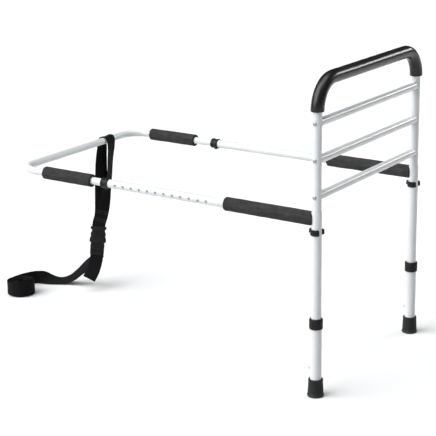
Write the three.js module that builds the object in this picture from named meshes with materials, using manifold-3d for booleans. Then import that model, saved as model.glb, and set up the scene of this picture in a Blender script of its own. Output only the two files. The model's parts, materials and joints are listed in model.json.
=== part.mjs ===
// A bed assist rail: a padded steel handle with three crossbars on two adjustable legs, with two rails and a
// telescoping U-frame that go under the mattress, and a webbing strap that ties the U-frame down.
// Frame: millimetres, +Z up, +X from the U-frame to the handle, -Y the near side, origin on the floor under
// the middle of the steelwork.
import * as THREE from "three";
import { mergeVertices } from "three/addons/utils/BufferGeometryUtils.js";
import Module from "manifold-3d";

const wasm = await Module();
wasm.setup();

// ---- driving dimensions ----
const halfWidth = 250; // from the middle plane to each upright's centre line
const railHeight = 442;
const handleHeight = 766; // centre line of the handle's top bar
const crossbarHeights = { bottom: 496, middle: 583, top: 670 };
const wall = 1.0; // steel tube
const gap = 0.4; // between touching pieces
const fit = 0.4; // radial play between telescoping tubes

const handleR = 11; // outer radii
const postR = handleR + fit + wall;
const legR = postR + fit + wall;
const railR = 11;
const uTubeR = railR - wall - fit;
const railFoamR = 17;
const uFoamR = 16.5;
const crossbarR = 10;

const handleBendR = 70;
const handleFoot = 378; // lower ends of the handle tube, inside the posts
const gripEnd = handleHeight - handleBendR; // the grip covers the top bar and both bends
const gripR = 16;
const postTop = 460;
const postFoot = 47;
const clipHeight = 411;

const uReach = 912; // from the uprights to the centre line of the U-frame's end bar
const uBendR = 62;
const uInnerEnd = 300; // the U tube's ends, inside the rails
const uFoams = { near: [663, 821], far: [689, 843] }; // distances from the uprights
const footR = 20.5;
const uprightX = (uReach + uTubeR - footR) / 2;

const railLength = 624;
const railFoamEnd = 252;
const railFoamNotch = 6.5; // least distance from the foam's notched end to the upright's centre line
const collarStart = 608;
const collarEnd = 630;
const holePitch = 25.4;
const railHoles = 12;
const firstHole = 583; // the hole furthest from the uprights
const buttonHole = 10; // pitches from the first hole to the one that the snap button sits in
const holeR = 3.8;
const pinR = 3.4;

const legTop = 195;
const legFoot = 6.4;
const legButtonHeight = 69.5;
const legHoles = 4;
const legButtonReach = 5.2; // beyond the leg
const railButtonReach = 2.6; // beyond the rail

const strapWidth = 38;
const strapThickness = 1.6;
const strapRows = 4; // faces across its width, so that it can twist
const rollR = 38;

const sides = 16; // of a round tube
const holeSides = 10;
const boltSides = 12;
const bendSteps = 7; // of a quarter bend

// ---- materials ----
const colours = {
  steel: [0xf2f4f6, 0.35, 0.3],
  metal: [0xc8ccd0, 0.3, 0.9],
  foam: [0x2e2e30, 0.95, 0],
  grip: [0x121214, 0.35, 0],
  plastic: [0x1b1b1d, 0.5, 0],
  rubber: [0x18191a, 0.8, 0],
  webbing: [0x161617, 0.9, 0],
};
const materials = Object.fromEntries(
  Object.entries(colours).map(([name, [color, roughness, metalness]]) => [
    name,
    new THREE.MeshStandardMaterial({ color, roughness, metalness }),
  ]),
);

const part = new THREE.Group();
const uprights = new THREE.Group(); // origin on the floor between the uprights
uprights.position.x = uprightX;
part.add(uprights);

function add(name, geometry, finish, parent = uprights) {
  const mesh = new THREE.Mesh(geometry, materials[finish]);
  mesh.name = name;
  parent.add(mesh);
  return mesh;
}

const ends = [
  ["near", -1],
  ["far", 1],
];

const axisX = new THREE.Vector3(1, 0, 0);
const axisY = new THREE.Vector3(0, 1, 0);
const axisZ = new THREE.Vector3(0, 0, 1);

// ---- solids ----
function toSolid(geometry) {
  const plain = geometry.index ? geometry.toNonIndexed() : geometry.clone();
  plain.deleteAttribute("normal");
  plain.deleteAttribute("uv");
  const merged = mergeVertices(plain, 1e-3);
  return new wasm.Manifold(
    new wasm.Mesh({
      numProp: 3,
      vertProperties: merged.attributes.position.array,
      triVerts: new Uint32Array(merged.index.array),
    }),
  );
}

function toGeometry(solid) {
  const mesh = solid.getMesh();
  const geometry = new THREE.BufferGeometry();
  geometry.setAttribute("position", new THREE.BufferAttribute(new Float32Array(mesh.vertProperties), 3));
  geometry.setIndex(new THREE.BufferAttribute(new Uint32Array(mesh.triVerts), 1));
  const flat = geometry.toNonIndexed();
  flat.computeVertexNormals();
  return flat;
}

function cut(geometry, ...tools) {
  return toGeometry(tools.reduce((solid, tool) => solid.subtract(toSolid(tool)), toSolid(geometry)));
}

function join(geometry, ...others) {
  return toGeometry(others.reduce((solid, other) => solid.add(toSolid(other)), toSolid(geometry)));
}

function rod(radius, from, to, segments = sides) {
  const start = new THREE.Vector3(...from);
  const along = new THREE.Vector3(...to).sub(start);
  const geometry = new THREE.CylinderGeometry(radius, radius, along.length(), segments);
  geometry.rotateY(Math.PI / segments);
  const turn = new THREE.Quaternion().setFromUnitVectors(axisY, along.clone().normalize());
  geometry.applyQuaternion(turn);
  return geometry.translate(...start.addScaledVector(along, 0.5));
}

// A ring or a solid of revolution about Z, from [radius, height] points, anticlockwise with Z up.
function turned(profile, segments = sides) {
  const points = profile.map(([radius, height]) => new THREE.Vector2(radius, height));
  if (profile[0][0] > 0) points.push(points[0].clone());
  return new THREE.LatheGeometry(points, segments).rotateX(Math.PI / 2);
}

function box(width, depth, height, at) {
  return new THREE.BoxGeometry(width, depth, height).translate(...at);
}

// ---- swept shapes ----
// A path given by its own stations, with the way that the section's second axis points at each of them.
class StationPath extends THREE.Curve {
  constructor(points, across) {
    super();
    this.points = points;
    this.across = across;
  }
  getPointAt(u, target = new THREE.Vector3()) {
    return target.copy(this.points[Math.round(u * (this.points.length - 1))]);
  }
  computeFrenetFrames() {
    const last = this.points.length - 1;
    const frames = { tangents: [], normals: [], binormals: [] };
    this.points.forEach((point, i) => {
      const before = this.points[Math.max(i - 1, 0)];
      const after = this.points[Math.min(i + 1, last)];
      const back = point.clone().sub(before).normalize();
      const on = after.clone().sub(point).normalize();
      const tangent = back.add(on).normalize();
      const normal = new THREE.Vector3().crossVectors(this.across[i], tangent).normalize();
      frames.tangents.push(tangent);
      frames.normals.push(normal);
      frames.binormals.push(new THREE.Vector3().crossVectors(tangent, normal));
    });
    return frames;
  }
}

function swept(shape, points, across) {
  return new THREE.ExtrudeGeometry(shape, {
    steps: points.length - 1,
    extrudePath: new StationPath(points, across),
  });
}

function circlePoints(radius) {
  return Array.from({ length: sides }, (_, i) => {
    const turn = ((i + 0.5) / sides) * 2 * Math.PI;
    return new THREE.Vector2(radius * Math.cos(turn), radius * Math.sin(turn));
  });
}

function ringShape(outer, inner) {
  const shape = new THREE.Shape(circlePoints(outer));
  shape.holes.push(new THREE.Path(circlePoints(inner).reverse()));
  return shape;
}

// Stations of a path with two equal legs and a bar, joined by two arcs. leg and bar are unit vectors, corner
// is where the centre lines of the first leg and the bar would meet, and width is the bar's full length.
function hoopPoints(corner, leg, bar, width, legLength, radius) {
  const points = [];
  const place = (alongBar, alongLeg) =>
    points.push(corner.clone().addScaledVector(bar, alongBar).addScaledVector(leg, alongLeg));
  if (legLength > radius) place(0, legLength);
  for (let i = 0; i <= bendSteps; i++) {
    const turn = (i / bendSteps) * (Math.PI / 2);
    place(radius * (1 - Math.cos(turn)), radius * (1 - Math.sin(turn)));
  }
  for (let i = bendSteps; i >= 0; i--) {
    const turn = (i / bendSteps) * (Math.PI / 2);
    place(width - radius * (1 - Math.cos(turn)), radius * (1 - Math.sin(turn)));
  }
  if (legLength > radius) place(width, legLength);
  return points;
}

function hoop(shape, points, planeNormal) {
  return swept(shape, points, points.map(() => planeNormal));
}

// ---- handle ----
function handleHoop(outer, inner, foot) {
  const corner = new THREE.Vector3(0, -halfWidth, handleHeight);
  const down = axisZ.clone().negate();
  const points = hoopPoints(corner, down, axisY, 2 * halfWidth, handleHeight - foot, handleBendR);
  return hoop(ringShape(outer, inner), points, axisX);
}

const boltR = 2.5;
const boltHoleR = 2.9;
const insertStart = halfWidth - handleR - 6; // distance of an insert's outer face from the middle plane
const insertLength = 14;
const overcut = 5; // how far a hole's cutter runs past the tube

// A cutter for a hole through the -X side of an upright or a leg.
function outerHole(radius, side, height) {
  const middle = side * halfWidth;
  return rod(holeR, [-radius - overcut, middle, height], [0, middle, height], holeSides);
}

function addHandle() {
  const bolts = [];
  for (const height of Object.values(crossbarHeights)) {
    for (const [, side] of ends) {
      const from = [0, side * (halfWidth - handleR - overcut), height];
      bolts.push(rod(boltHoleR, from, [0, side * (halfWidth + handleR + overcut), height], holeSides));
    }
  }
  const pins = ends.map(([, side]) => outerHole(handleR, side, clipHeight));
  add("handle_tube", cut(handleHoop(handleR, handleR - wall, handleFoot), ...bolts, ...pins), "steel");
  add("handle_grip", handleHoop(gripR, handleR + gap, gripEnd), "grip");
}

function addCrossbar(name, height) {
  const reach = halfWidth - 1;
  const path = [new THREE.Vector3(0, -reach, height), new THREE.Vector3(0, reach, height)];
  const tube = hoop(ringShape(crossbarR, crossbarR - wall), path, axisX);
  const below = height - 2 * crossbarR;
  const above = height + 2 * crossbarR;
  const uprightsCut = ends.map(([, side]) =>
    rod(handleR + gap, [0, side * halfWidth, below], [0, side * halfWidth, above]),
  );
  add(`crossbar_${name}`, cut(tube, ...uprightsCut), "steel");
  for (const [end, side] of ends) {
    const outer = side * insertStart;
    const inner = side * (insertStart - insertLength);
    const insert = cut(
      rod(crossbarR - wall - gap, [0, outer, height], [0, inner, height]),
      rod(boltR + gap, [0, outer + side, height], [0, inner - side, height], boltSides),
    );
    add(`crossbar_insert_${name}_${end}`, insert, "metal");
    add(`crossbar_bolt_${name}_${end}`, boltGeometry(side, height), "metal");
  }
}

// A dome-headed bolt through one leg of the handle into the insert, its axis along Y.
function boltGeometry(side, height) {
  const face = halfWidth + handleR + gap;
  const tip = insertStart - insertLength + 2;
  const headR = 4.6;
  const headHeight = 2.6;
  const profile = [
    [0, tip],
    [boltR, tip],
    [boltR, face],
    [headR, face],
    [headR, face + headHeight * 0.35],
    [headR * 0.75, face + headHeight * 0.8],
    [0, face + headHeight],
  ];
  const bolt = turned(profile, boltSides);
  return bolt.rotateX(side > 0 ? -Math.PI / 2 : Math.PI / 2).translate(0, 0, height);
}

// ---- posts, rails and what is on them ----
function addPost(end, side) {
  const tube = turned([
    [postR - wall, postFoot],
    [postR, postFoot],
    [postR, postTop],
    [postR - wall, postTop],
  ]).translate(0, side * halfWidth, 0);
  const holes = [clipHeight, legButtonHeight].map((height) => outerHole(postR, side, height));
  add(`post_${end}`, cut(tube, ...holes), "steel");
}

// A C-shaped plastic clip, open towards +X, with a pin that locks the handle tube in the post.
function addPostClip(end, side) {
  const innerR = postR + gap;
  const outerR = innerR + 2.6;
  const height = 14.6;
  const opening = 0.225 * Math.PI; // half of the open angle
  const outline = new THREE.Shape();
  outline.absarc(0, 0, outerR, opening, 2 * Math.PI - opening, false);
  outline.absarc(0, 0, innerR, 2 * Math.PI - opening, opening, true);
  const ring = new THREE.ExtrudeGeometry(outline, { depth: height, bevelEnabled: false, curveSegments: 16 });
  ring.translate(0, 0, clipHeight - height / 2);
  const knobLength = 4;
  const knob = box(knobLength + 1, 7, height - 2, [-outerR - (knobLength - 1) / 2, 0, clipHeight - 0.6]);
  const pinTip = handleR - wall - 2.6;
  const pin = rod(pinR - 0.4, [-outerR + 1, 0, clipHeight], [-pinTip, 0, clipHeight], holeSides);
  const middle = (innerR + outerR) / 2;
  const flares = [-1, 1].map((way) => {
    const flare = box(5, 1.8, height - 1.6, [1.6, 0, clipHeight + 0.8]).rotateZ(way * 0.3 * Math.PI);
    const angle = way * opening;
    return flare.translate(middle * Math.cos(angle), middle * Math.sin(angle), 0);
  });
  add(`post_clip_${end}`, join(ring, knob, pin, ...flares), "plastic").position.y = side * halfWidth;
}

// A tube or sleeve that lies along X on one side of the frame, between two distances from the uprights.
function alongRail(outer, inner, start, stop, side) {
  const path = [new THREE.Vector3(-stop, 0, 0), new THREE.Vector3(-start, 0, 0)];
  return hoop(ringShape(outer, inner), path, axisZ).translate(0, side * halfWidth, railHeight);
}

function holeAt(distance, side) {
  const middle = side * halfWidth;
  const outside = middle + side * (railR + overcut);
  return rod(holeR, [-distance, middle, railHeight], [-distance, outside, railHeight], holeSides);
}

const buttonDistance = firstHole - buttonHole * holePitch;

function addRail(end, side) {
  const middle = side * halfWidth;
  const postCut = rod(postR + gap, [0, middle, railHeight - postR * 2], [0, middle, railHeight + postR * 2]);
  const holes = Array.from({ length: railHoles }, (_, i) => holeAt(firstHole - i * holePitch, side));
  const tube = alongRail(railR, railR - wall, railR / 2, railLength, side);
  add(`rail_${end}`, cut(tube, postCut, ...holes), "steel");
  const foam = alongRail(railFoamR, railR + gap, railFoamNotch, railFoamEnd, side);
  add(`rail_foam_${end}`, cut(foam, postCut), "foam");
  addRailCollar(end, side);
}

// The plastic bush that guides the U tube in the end of the rail.
function addRailCollar(end, side) {
  const collarR = 13.6;
  const lip = railLength + gap;
  const bush = turned([
    [railR + gap, collarStart],
    [collarR, collarStart],
    [collarR, collarEnd],
    [uTubeR + gap, collarEnd],
    [uTubeR + gap, lip],
    [railR + gap, lip],
  ]);
  bush.rotateY(-Math.PI / 2).translate(0, side * halfWidth, railHeight);
  const tab = box(9, 5, 4, [-(collarStart + collarEnd) / 2, side * halfWidth, railHeight - collarR - 1]);
  add(`rail_collar_${end}`, join(bush, tab), "plastic");
}

// ---- U-frame ----
function addUFrame() {
  const corner = new THREE.Vector3(-uReach, -halfWidth, railHeight);
  const points = hoopPoints(corner, axisX, axisY, 2 * halfWidth, uReach - uInnerEnd, uBendR);
  const tube = hoop(ringShape(uTubeR, uTubeR - wall), points, axisZ);
  add("u_tube", cut(tube, ...ends.map(([, side]) => holeAt(buttonDistance, side))), "steel");
  for (const [end, side] of ends) {
    const foam = alongRail(uFoamR, uTubeR + gap, ...uFoams[end], side);
    add(`u_foam_${end}`, foam, "foam");
    addSnapButton(`u_${end}`, 5.9, railR + railButtonReach, uTubeR - wall, (piece) =>
      (side > 0 ? piece.rotateY(Math.PI) : piece.rotateZ(Math.PI)).translate(
        -buttonDistance,
        side * halfWidth,
        railHeight,
      ),
    );
  }
}

// A dome-headed snap button and its V-shaped leaf spring, drawn with the button pointing along +Y and the
// tube along X, then moved into place. base and tip are the button's distances from the tube's axis.
function addSnapButton(prefix, base, tip, boreR, place) {
  const flangeR = 4.6;
  const dome = 1.6;
  const button = turned(
    [
      [0, base],
      [flangeR, base],
      [flangeR, base + 1],
      [pinR, base + 1],
      [pinR, tip - dome],
      [pinR * 0.8, tip - dome * 0.35],
      [pinR * 0.35, tip],
      [0, tip],
    ],
  );
  add(`${prefix}_button`, place(button.rotateX(-Math.PI / 2)), "metal");
  const leaf = 0.8;
  const halfLeafWidth = 3.5;
  const top = base - gap;
  const bottom = -Math.sqrt(boreR ** 2 - halfLeafWidth ** 2) + gap;
  const reach = 34; // from the button to the fold
  const outline = new THREE.Shape([
    new THREE.Vector2(-6, top),
    new THREE.Vector2(-6, top - leaf),
    new THREE.Vector2(8, top - leaf),
    new THREE.Vector2(reach - 2 * leaf, 0),
    new THREE.Vector2(4, bottom + leaf),
    new THREE.Vector2(-6, bottom + leaf),
    new THREE.Vector2(-6, bottom),
    new THREE.Vector2(4, bottom),
    new THREE.Vector2(reach, -leaf),
    new THREE.Vector2(reach, leaf),
    new THREE.Vector2(8, top),
  ]);
  const spring = new THREE.ExtrudeGeometry(outline, { depth: 2 * halfLeafWidth, bevelEnabled: false });
  add(`${prefix}_spring`, place(spring.translate(0, 0, -halfLeafWidth)), "metal");
}

// ---- legs ----
function addLeg(end, side) {
  const tube = turned([
    [legR - wall, legFoot],
    [legR, legFoot],
    [legR, legTop],
    [legR - wall, legTop],
  ]);
  const holes = Array.from({ length: legHoles }, (_, i) => {
    const height = legButtonHeight + i * holePitch;
    return outerHole(legR, side, height);
  });
  add(`leg_tube_${end}`, cut(tube.translate(0, side * halfWidth, 0), ...holes), "steel");

  const collarR = 16.6;
  const collarBottom = 172;
  const collarTop = 198;
  const collar = turned([
    [legR + gap, collarBottom],
    [collarR - 0.8, collarBottom],
    [collarR, collarBottom + 0.8],
    [collarR, collarTop - 1.2],
    [collarR - 1.2, collarTop],
    [postR + gap, collarTop],
    [postR + gap, legTop + gap],
    [legR + gap, legTop + gap],
  ]);
  add(`leg_collar_${end}`, collar, "plastic").position.y = side * halfWidth;

  const foot = turned([
    [0, 0],
    [footR - 1.5, 0],
    [footR, 1.8],
    [footR - 0.6, 5],
    [17.4, 43],
    [16.6, 44],
    [legR + gap, 44],
    [legR + gap, legFoot - gap],
    [0, legFoot - gap],
  ]);
  add(`foot_${end}`, foot, "rubber").position.y = side * halfWidth;

  addSnapButton(`leg_${end}`, 9.2, legR + legButtonReach, postR - wall, (piece) =>
    piece
      .rotateY(-Math.PI / 2)
      .rotateZ(Math.PI / 2)
      .translate(0, side * halfWidth, legButtonHeight),
  );
}

// ---- strap ----
const facing = (34 * Math.PI) / 180; // the way that the hanging buckle is turned about Z, from +X

// The strap's width where it hangs: level, and turned from +X.
function hanging(turn) {
  return new THREE.Vector3(Math.cos(turn), Math.sin(turn), 0);
}

// The strap's width where it runs along: square to the run, and leaning from level.
function leaning(lean, run) {
  const level = new THREE.Vector3().crossVectors(axisZ, run).normalize();
  const rise = new THREE.Vector3().crossVectors(run, level);
  return level.multiplyScalar(Math.cos(lean)).addScaledVector(rise, Math.sin(lean));
}

// A strap along stations chosen by hand. Each is [x, y, z, angle], with x from the uprights and the angle in
// degrees, which width turns into the direction of the strap's width.
function ribbon(stations, steps, width = hanging) {
  const vectors = stations.map(([x, y, z]) => new THREE.Vector3(x, y, z));
  const curve = new THREE.CatmullRomCurve3(vectors, false, "centripetal");
  const points = [];
  const across = [];
  for (let i = 0; i <= steps; i++) {
    const t = i / steps;
    const place = t * (stations.length - 1);
    const k = Math.min(Math.floor(place), stations.length - 2);
    const angle = THREE.MathUtils.lerp(stations[k][3], stations[k + 1][3], place - k);
    points.push(curve.getPoint(t));
    across.push(width(THREE.MathUtils.degToRad(angle), curve.getTangent(t)));
  }
  const places = Array.from({ length: strapRows + 1 }, (_, i) => (i / strapRows - 0.5) * strapWidth);
  const face = places.map((place) => new THREE.Vector2(strapThickness / 2, place));
  const back = places.map((place) => new THREE.Vector2(-strapThickness / 2, place)).reverse();
  return swept(new THREE.Shape([...face, ...back]), points, across);
}

const loopRoute = [
  [-922.4, 85.5, 186, 34],
  [-921.6, 87.6, 200, 36],
  [-919.6, 96.4, 221, 42],
  [-915.5, 104, 250, 60],
  [-912, 116, 296, 85],
  [-908, 127, 341, 104],
  [-904, 128, 385, 103],
  [-900.4, 130, 425, 96],
  [-900, 129, 440, 93],
  [-903.2, 127, 450.2, 90],
  [-912, 124, 454.2, 90],
  [-920.8, 121, 450.2, 90],
  [-924, 119, 440, 88],
  [-923.6, 117, 425, 84],
  [-923, 110, 385, 72],
  [-923, 107, 341, 62],
  [-923, 105, 296, 52],
  [-921.7, 97.6, 221, 40],
  [-923.2, 89.2, 200, 36],
  [-923.5, 87.1, 186, 34],
];
const tailRoute = [
  [-925.4, 75.8, 107.4, 34],
  [-925.2, 74, 100, 34.5],
  [-926.4, 71, 87, 36],
  [-928, 60, 63, 40],
  [-931, 42, 41, 44],
];
const rollCentre = [-1096, -68];
// The lead leaves the clip behind the tail, slopes to the floor and stands up on its edge round the roll.
const leadRoute = [
  [-927, 78, 106, 0],
  [-929, 81, 99, 0],
  [-933, 87, 92, -10],
  [-945, 91, 85, -35],
  [-962, 89, 73, -48],
  [-985, 84, 52, -45],
  [-1010, 79, 29, -37],
  [-1035, 72, 12, -24],
  [-1060, 61, 7, -14],
  [-1080, 48, 11, -30],
  [-1100, 31, 19, -68],
  [-1120, 6, 21, -88],
  [-1133, -30, 21, -90],
  [-1136, -66, 20.5, -90],
];

// The buckle hangs with its long axis a little off plumb: local Z runs up the strap and local X across it.
function hangingGroup(top, tip) {
  const group = new THREE.Group();
  const up = top.clone().sub(tip).normalize();
  const across = new THREE.Vector3(Math.cos(facing), Math.sin(facing), 0);
  const out = new THREE.Vector3().crossVectors(up, across).normalize();
  across.crossVectors(out, up);
  group.quaternion.setFromRotationMatrix(new THREE.Matrix4().makeBasis(across, out, up));
  group.position.copy(top);
  uprights.add(group);
  return group;
}

const buckle = hangingGroup(new THREE.Vector3(-923, 86, 184), new THREE.Vector3(-926, 77, 109));

function roundedPlate(width, height, radius, thickness, centreZ) {
  const shape = new THREE.Shape();
  const w = width / 2;
  const h = height / 2;
  shape.absarc(w - radius, h - radius, radius, 0, Math.PI / 2, false);
  shape.absarc(-w + radius, h - radius, radius, Math.PI / 2, Math.PI, false);
  shape.absarc(-w + radius, -h + radius, radius, Math.PI, 1.5 * Math.PI, false);
  shape.absarc(w - radius, -h + radius, radius, 1.5 * Math.PI, 2 * Math.PI, false);
  const plate = new THREE.ExtrudeGeometry(shape, { depth: thickness, bevelEnabled: false, curveSegments: 4 });
  return plate.translate(0, 0, -thickness / 2).rotateX(Math.PI / 2).translate(0, 0, centreZ);
}

function addBuckle() {
  // socket: a collar that the strap's two layers go down into, then a flat shell with a slot for each prong
  // and a mouth below
  const frame = roundedPlate(46, 16, 4, 7.6, -2);
  const webSlot = box(39.5, 5, 14, [0, 0, 1]);
  const shell = roundedPlate(44, 34, 5, 11, -26);
  const mouth = box(37, 7.4, 31, [0, 0, -28]);
  const windows = [-1, 1].map((way) => box(10, 7.4, 24, [way * 20, 0, -32.5]));
  add("buckle_socket", cut(join(frame, shell), webSlot, mouth, ...windows), "plastic", buckle);

  // clip: a web bar frame and a neck, with a guide and two sprung prongs that reach into the socket
  const base = roundedPlate(44, 29, 5, 10, -60.9);
  const clipSlot = box(37.5, 12, 5, [0, 0, -67]);
  const guide = box(6, 5.6, 22, [0, 0, -37]);
  const prongs = [-1, 1].map((way) => {
    const arm = box(4, 5.6, 26, [way * 15.4, 0, -37]);
    const thumb = roundedPlate(6, 14, 2.6, 5.6, -29).translate(way * 19.4, 0, 0);
    return join(arm, thumb);
  });
  add("buckle_clip", cut(join(base, guide, ...prongs), clipSlot), "plastic", buckle);
}

function addStrap() {
  add("strap_loop", ribbon(loopRoute, 36), "webbing");
  add("strap_tail", ribbon(tailRoute, 8), "webbing");
  add("strap_lead", ribbon(leadRoute, 52, leaning), "webbing");
  const core = 6; // radius of the hole in the middle of the roll
  const roll = turned(
    [
      [core, gap],
      [rollR, gap],
      [rollR, gap + strapWidth],
      [core, gap + strapWidth],
    ],
    28,
  );
  add("strap_roll", roll.translate(rollCentre[0], rollCentre[1], 0), "webbing");
}

addHandle();
for (const [name, height] of Object.entries(crossbarHeights)) addCrossbar(name, height);
addUFrame();
for (const [end, side] of ends) {
  addPost(end, side);
  addPostClip(end, side);
  addRail(end, side);
  addLeg(end, side);
}
addBuckle();
addStrap();

export default part;
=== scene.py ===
"""The looks of a bed assist rail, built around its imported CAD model.

Metres, +Z up, +X from the U-frame to the handle.
"""
import json
import math

import bmesh
import bpy
import numpy as np
from mathutils import Matrix, Vector


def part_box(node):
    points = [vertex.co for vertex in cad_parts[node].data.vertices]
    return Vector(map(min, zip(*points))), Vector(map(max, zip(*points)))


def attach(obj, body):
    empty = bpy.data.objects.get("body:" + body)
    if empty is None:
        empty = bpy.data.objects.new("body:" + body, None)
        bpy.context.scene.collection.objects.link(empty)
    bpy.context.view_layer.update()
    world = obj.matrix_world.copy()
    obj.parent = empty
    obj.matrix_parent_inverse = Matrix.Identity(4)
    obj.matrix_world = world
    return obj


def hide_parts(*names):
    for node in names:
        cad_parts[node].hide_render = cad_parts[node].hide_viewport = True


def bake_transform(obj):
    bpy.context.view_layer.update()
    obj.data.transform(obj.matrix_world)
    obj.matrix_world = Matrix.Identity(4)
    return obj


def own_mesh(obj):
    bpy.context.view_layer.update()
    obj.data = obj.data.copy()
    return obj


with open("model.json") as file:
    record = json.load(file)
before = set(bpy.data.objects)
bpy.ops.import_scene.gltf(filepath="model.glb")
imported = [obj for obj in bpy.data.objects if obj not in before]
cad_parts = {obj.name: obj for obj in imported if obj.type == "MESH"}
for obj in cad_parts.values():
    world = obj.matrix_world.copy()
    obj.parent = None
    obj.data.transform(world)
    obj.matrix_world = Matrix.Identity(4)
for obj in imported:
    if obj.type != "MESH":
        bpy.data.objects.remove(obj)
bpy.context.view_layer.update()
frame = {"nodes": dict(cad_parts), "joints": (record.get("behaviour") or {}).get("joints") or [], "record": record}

# ---- driving dimensions, metres ----
wall = 0.001  # of every steel tube
play = 0.0004  # between a tube and the one that slides in it
handle_r = 0.011
post_r = handle_r + play + wall
leg_r = post_r + play + wall
rail_r = 0.011
u_tube_r = rail_r - wall - play
crossbar_r = 0.010
grip_r = 0.016
rail_foam_r = 0.017
u_foam_r = 0.0165
handle_bend_r = 0.070
u_bend_r = 0.062
hole_r = 0.0038
hole_pitch = 0.0254
rail_holes = 12
first_rail_hole = 0.583  # from the uprights to the furthest hole
leg_holes = 4
button_r = 0.0034
strap_width = 0.038
strap_thickness = 0.0016

round_sides = 64  # of a tube seen close
cad_flat = math.cos(math.pi / 16)  # the CAD tubes have 16 sides, and reach this share of their radius
ends = {"near": -1, "far": 1}


def middle(node):
    low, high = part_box(node)
    return (low + high) / 2


upright_x = middle("handle_tube").x
half_width = middle("post_far").y
rail_z = middle("rail_foam_near").z
handle_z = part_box("handle_tube")[1].z - handle_r * cad_flat
u_end_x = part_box("u_tube")[0].x + u_tube_r * cad_flat
axis_x, axis_y, axis_z = (Vector(column) for column in np.eye(3))


def from_uprights(x, y, z):
    return Vector((upright_x + x, y, z))


# Soft areas of the sky: azimuth and elevation in degrees, where it starts and is full as the cosine of the
# angle from its middle, and its strength.
sky_lobes = ((-125, 40, 0.75, 0.95, 6.0), (0, 90, 0.85, 1.0, 4.3))
sky_floor = 0.01
strip_power = 32


# ---- the camera ----
def add_camera():
    """A long lens from the near side of the handle, looking down at the frame."""
    place = Vector((2.0303, -2.9885, 1.388))
    turn, pitch, roll = (math.radians(a) for a in (34.126, 16.596, -0.804))
    data = bpy.data.cameras.new("camera")
    data.lens, data.sensor_width = 117.34, 36
    camera = bpy.data.objects.new("camera", data)
    look = Matrix.Rotation(turn, 4, "Z") @ Matrix.Rotation(math.pi / 2 - pitch, 4, "X")
    look = look @ Matrix.Rotation(roll, 4, "Z")
    camera.matrix_world = Matrix.Translation(place) @ look
    bpy.context.scene.collection.objects.link(camera)
    bpy.context.scene.camera = camera


# ---- materials ----
class Finish:
    """A Principled material: plain values sit on its sockets, and short calls make the nodes."""

    def __init__(self, name, **values):
        self.material = bpy.data.materials.new(name)
        self.material.use_nodes = True
        self.nodes, self.links = self.material.node_tree.nodes, self.material.node_tree.links
        self.shader = self.nodes["Principled BSDF"]
        for socket, value in values.items():
            self.shader.inputs[socket.replace("_", " ")].default_value = value
        self.place = self.node("TexCoord").outputs["Object"]

    def node(self, kind, inputs=(), **settings):
        made = self.nodes.new("ShaderNode" + kind)
        for name, value in settings.items():
            setattr(made, name, value)
        for socket, value in dict(inputs).items():
            if isinstance(value, bpy.types.NodeSocket):
                self.links.new(value, made.inputs[socket])
            else:
                made.inputs[socket].default_value = value
        return made

    def stretched(self, x, y, z, of=None):
        scale = {"Vector": of or self.place, "Scale": (x, y, z)}
        return self.node("Mapping", scale).outputs["Vector"]

    def noise(self, scale, detail=2.0, rough=0.5, at=None):
        inputs = {"Vector": at or self.place, "Scale": scale, "Detail": detail, "Roughness": rough}
        return self.node("TexNoise", inputs).outputs["Fac"]

    def cells(self, scale, at=None):
        return self.node("TexVoronoi", {"Vector": at or self.place, "Scale": scale}).outputs["Distance"]

    def sum(self, operation, a, b=0.0):
        return self.node("Math", {0: a, 1: b}, operation=operation).outputs[0]

    def ramp(self, factor, *stops):
        """Colours at places from 0 to 1 as (place, colour)."""
        ramp = self.node("ValToRGB", {"Fac": factor})
        elements = ramp.color_ramp.elements
        while len(elements) < len(stops):
            elements.new(0.5)
        for element, (place, colour) in zip(elements, stops):
            element.position = place
            element.color = (*colour, 1)
        return ramp.outputs["Color"]

    def between(self, factor, low, high):
        inputs = {"Value": factor, "To Min": low, "To Max": high}
        return self.node("MapRange", inputs).outputs["Result"]

    def bump(self, *layers):
        """Each layer is (height, depth in metres)."""
        normal = None
        for height, depth in layers:
            inputs = {"Height": height, "Distance": depth, "Strength": 1.0}
            if normal:
                inputs["Normal"] = normal
            normal = self.node("Bump", inputs).outputs["Normal"]
        self.links.new(normal, self.shader.inputs["Normal"])

    def colour(self, socket):
        self.links.new(socket, self.shader.inputs["Base Color"])

    def roughness(self, socket):
        self.links.new(socket, self.shader.inputs["Roughness"])


def powder_coat():
    """White gloss powder coat: orange peel, a faint mottle and dull handled patches."""
    f = Finish("white_powder_coat", Specular_IOR_Level=0.45)
    mottle = f.noise(14, 3, 0.6)
    f.colour(f.ramp(mottle, (0.35, (0.53, 0.548, 0.558)), (0.65, (0.56, 0.575, 0.582))))
    f.roughness(f.between(f.noise(60, 4, 0.65), 0.17, 0.30))
    f.bump((f.noise(420, 1.5), 0.00003), (f.noise(90, 1), 0.00004))
    return f.material


def rail_hole_shade_coat():
    """The U tube's powder coat, painted dull grey on the stretch that slides in the rails: painted shade that
    shows in the rail holes.
    """
    f = Finish("powder_coat_painted_hole_shade", Specular_IOR_Level=0.45)
    rail_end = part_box("rail_near")[0].x
    x = f.node("SeparateXYZ", {"Vector": f.place}).outputs["X"]
    edges = {"Value": x, "From Min": rail_end, "From Max": rail_end + 0.015}
    inside = f.node("MapRange", edges).outputs["Result"]
    scuff_bumps_and_shade = f.between(f.noise(1.0, 3, 0.6, f.stretched(30, 260, 260)), 0.7, 1.0)
    # painted shade: streaky dark grey inside the rails, seen through the rail holes as their shade
    painted_hole_shade = f.sum("MULTIPLY", inside, scuff_bumps_and_shade)
    f.colour(f.ramp(painted_hole_shade, (0.0, (0.545, 0.56, 0.57)), (1.0, (0.24, 0.245, 0.25))))
    f.roughness(f.between(f.noise(60, 4, 0.65), 0.17, 0.30))
    f.bump((f.noise(420, 1.5), 0.00003), (scuff_bumps_and_shade, 0.00003))
    return f.material


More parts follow.
